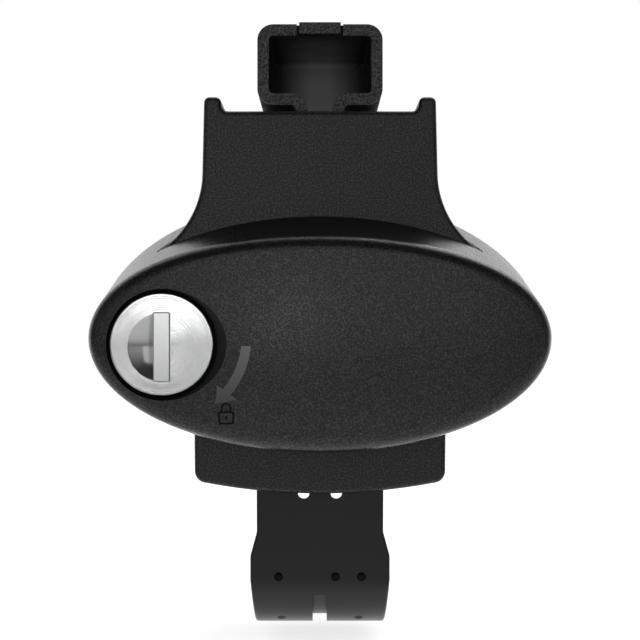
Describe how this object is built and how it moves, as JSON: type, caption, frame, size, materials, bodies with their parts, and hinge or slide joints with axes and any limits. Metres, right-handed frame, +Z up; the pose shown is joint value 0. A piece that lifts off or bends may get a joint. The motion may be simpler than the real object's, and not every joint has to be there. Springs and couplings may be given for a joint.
{
  "type": "roof bar foot",
  "caption": "Roof bar foot for raised rails: rubber-coated strap under the rail, flared black body, lockable oval cover and a steel head that clamps the load bar.",
  "frame": {"origin": "middle of the rail seat, on the underside of the rubber pad", "axes": "X along the roof rail, +Y inboard along the load bar, +Z up, so the cover faces -Y"},
  "size_m": [0.133, 0.0991, 0.1773],
  "materials": {
    "body_plastic": "black glass-filled nylon with a fine grain",
    "cover_plastic": "black moulded plastic with a fine spark-eroded grain",
    "pad_rubber": "soft black rubber",
    "strap_rubber": "black rubber coating over a steel band",
    "coated_steel": "coarse black powder coat",
    "plated_steel": "zinc-plated steel",
    "spring_steel": "dark oiled spring steel",
    "cast_steel": "plain steel, passivated",
    "satin_chrome": "satin chrome on a die casting"
  },
  "bodies": {
    "foot": {"housing": "body_plastic", "rail_pad": "pad_rubber", "rear_cover": "body_plastic", "rear_screws": "plated_steel", "strap_hook": "coated_steel", "hook_screws": "plated_steel", "lever_pin": "plated_steel", "pin_clips": "spring_steel", "thrust_plate": "plated_steel"},
    "front_cover": {"cover": "cover_plastic"},
    "lock": {"lock_plug": "satin_chrome", "lock_clip": "spring_steel", "lock_cam": "plated_steel", "cam_screw": "plated_steel"},
    "strap": {"rail_strap": "strap_rubber", "strap_yoke": "cast_steel", "yoke_pegs": "plated_steel"},
    "lever": {"rocker_lever": "cast_steel", "front_pin": "plated_steel", "rear_pin": "plated_steel"},
    "nut": {"trunnion_nut": "plated_steel"},
    "bolt": {"tension_bolt": "plated_steel", "bolt_washer": "plated_steel", "bolt_collar": "spring_steel"},
    "head": {"clamp_head": "coated_steel"}
  },
  "joints": [
    {"name": "cover_pull", "type": "slide", "parent": "foot", "child": "front_cover", "axis": [0, -1, 0], "range_m": [0, 0.06]},
    {"name": "lock_turn", "type": "hinge", "parent": "front_cover", "child": "lock", "pos_m": [-0.0444, -0.0436, 0.0391], "axis": [0, 1, 0], "range_deg": [0, 90]},
    {"name": "nut_travel", "type": "slide", "parent": "foot", "child": "nut", "axis": [0, -1, 0], "range_m": [-0.005, 0.00337]},
    {"name": "bolt_turn", "type": "hinge", "parent": "foot", "child": "bolt", "pos_m": [0, -0.0335, 0.052], "axis": [0, 1, 0], "range_deg": [-1441, 973]},
    {"name": "strap_pull", "type": "slide", "parent": "foot", "child": "strap", "axis": [0, 0, 1], "range_m": [-0.006, 0.0041]},
    {"name": "lever_rock", "type": "hinge", "parent": "foot", "child": "lever", "pos_m": [0, 0.006, 0.074], "axis": [1, 0, 0], "range_deg": [-9, 13.2]},
    {"name": "head_draw", "type": "slide", "parent": "foot", "child": "head", "axis": [0, 0, -1], "range_m": [-0.0031, 0.0021]}
  ],
  "couplings": [
    {"joint": "bolt_turn", "follows": "nut_travel", "rad_per_m": 5026.5},
    {"joint": "strap_pull", "follows": "nut_travel", "ratio": 1.1818},
    {"joint": "lever_rock", "follows": "nut_travel", "rad_per_m": -45.455},
    {"joint": "head_draw", "follows": "nut_travel", "ratio": 0.59091}
  ]
}
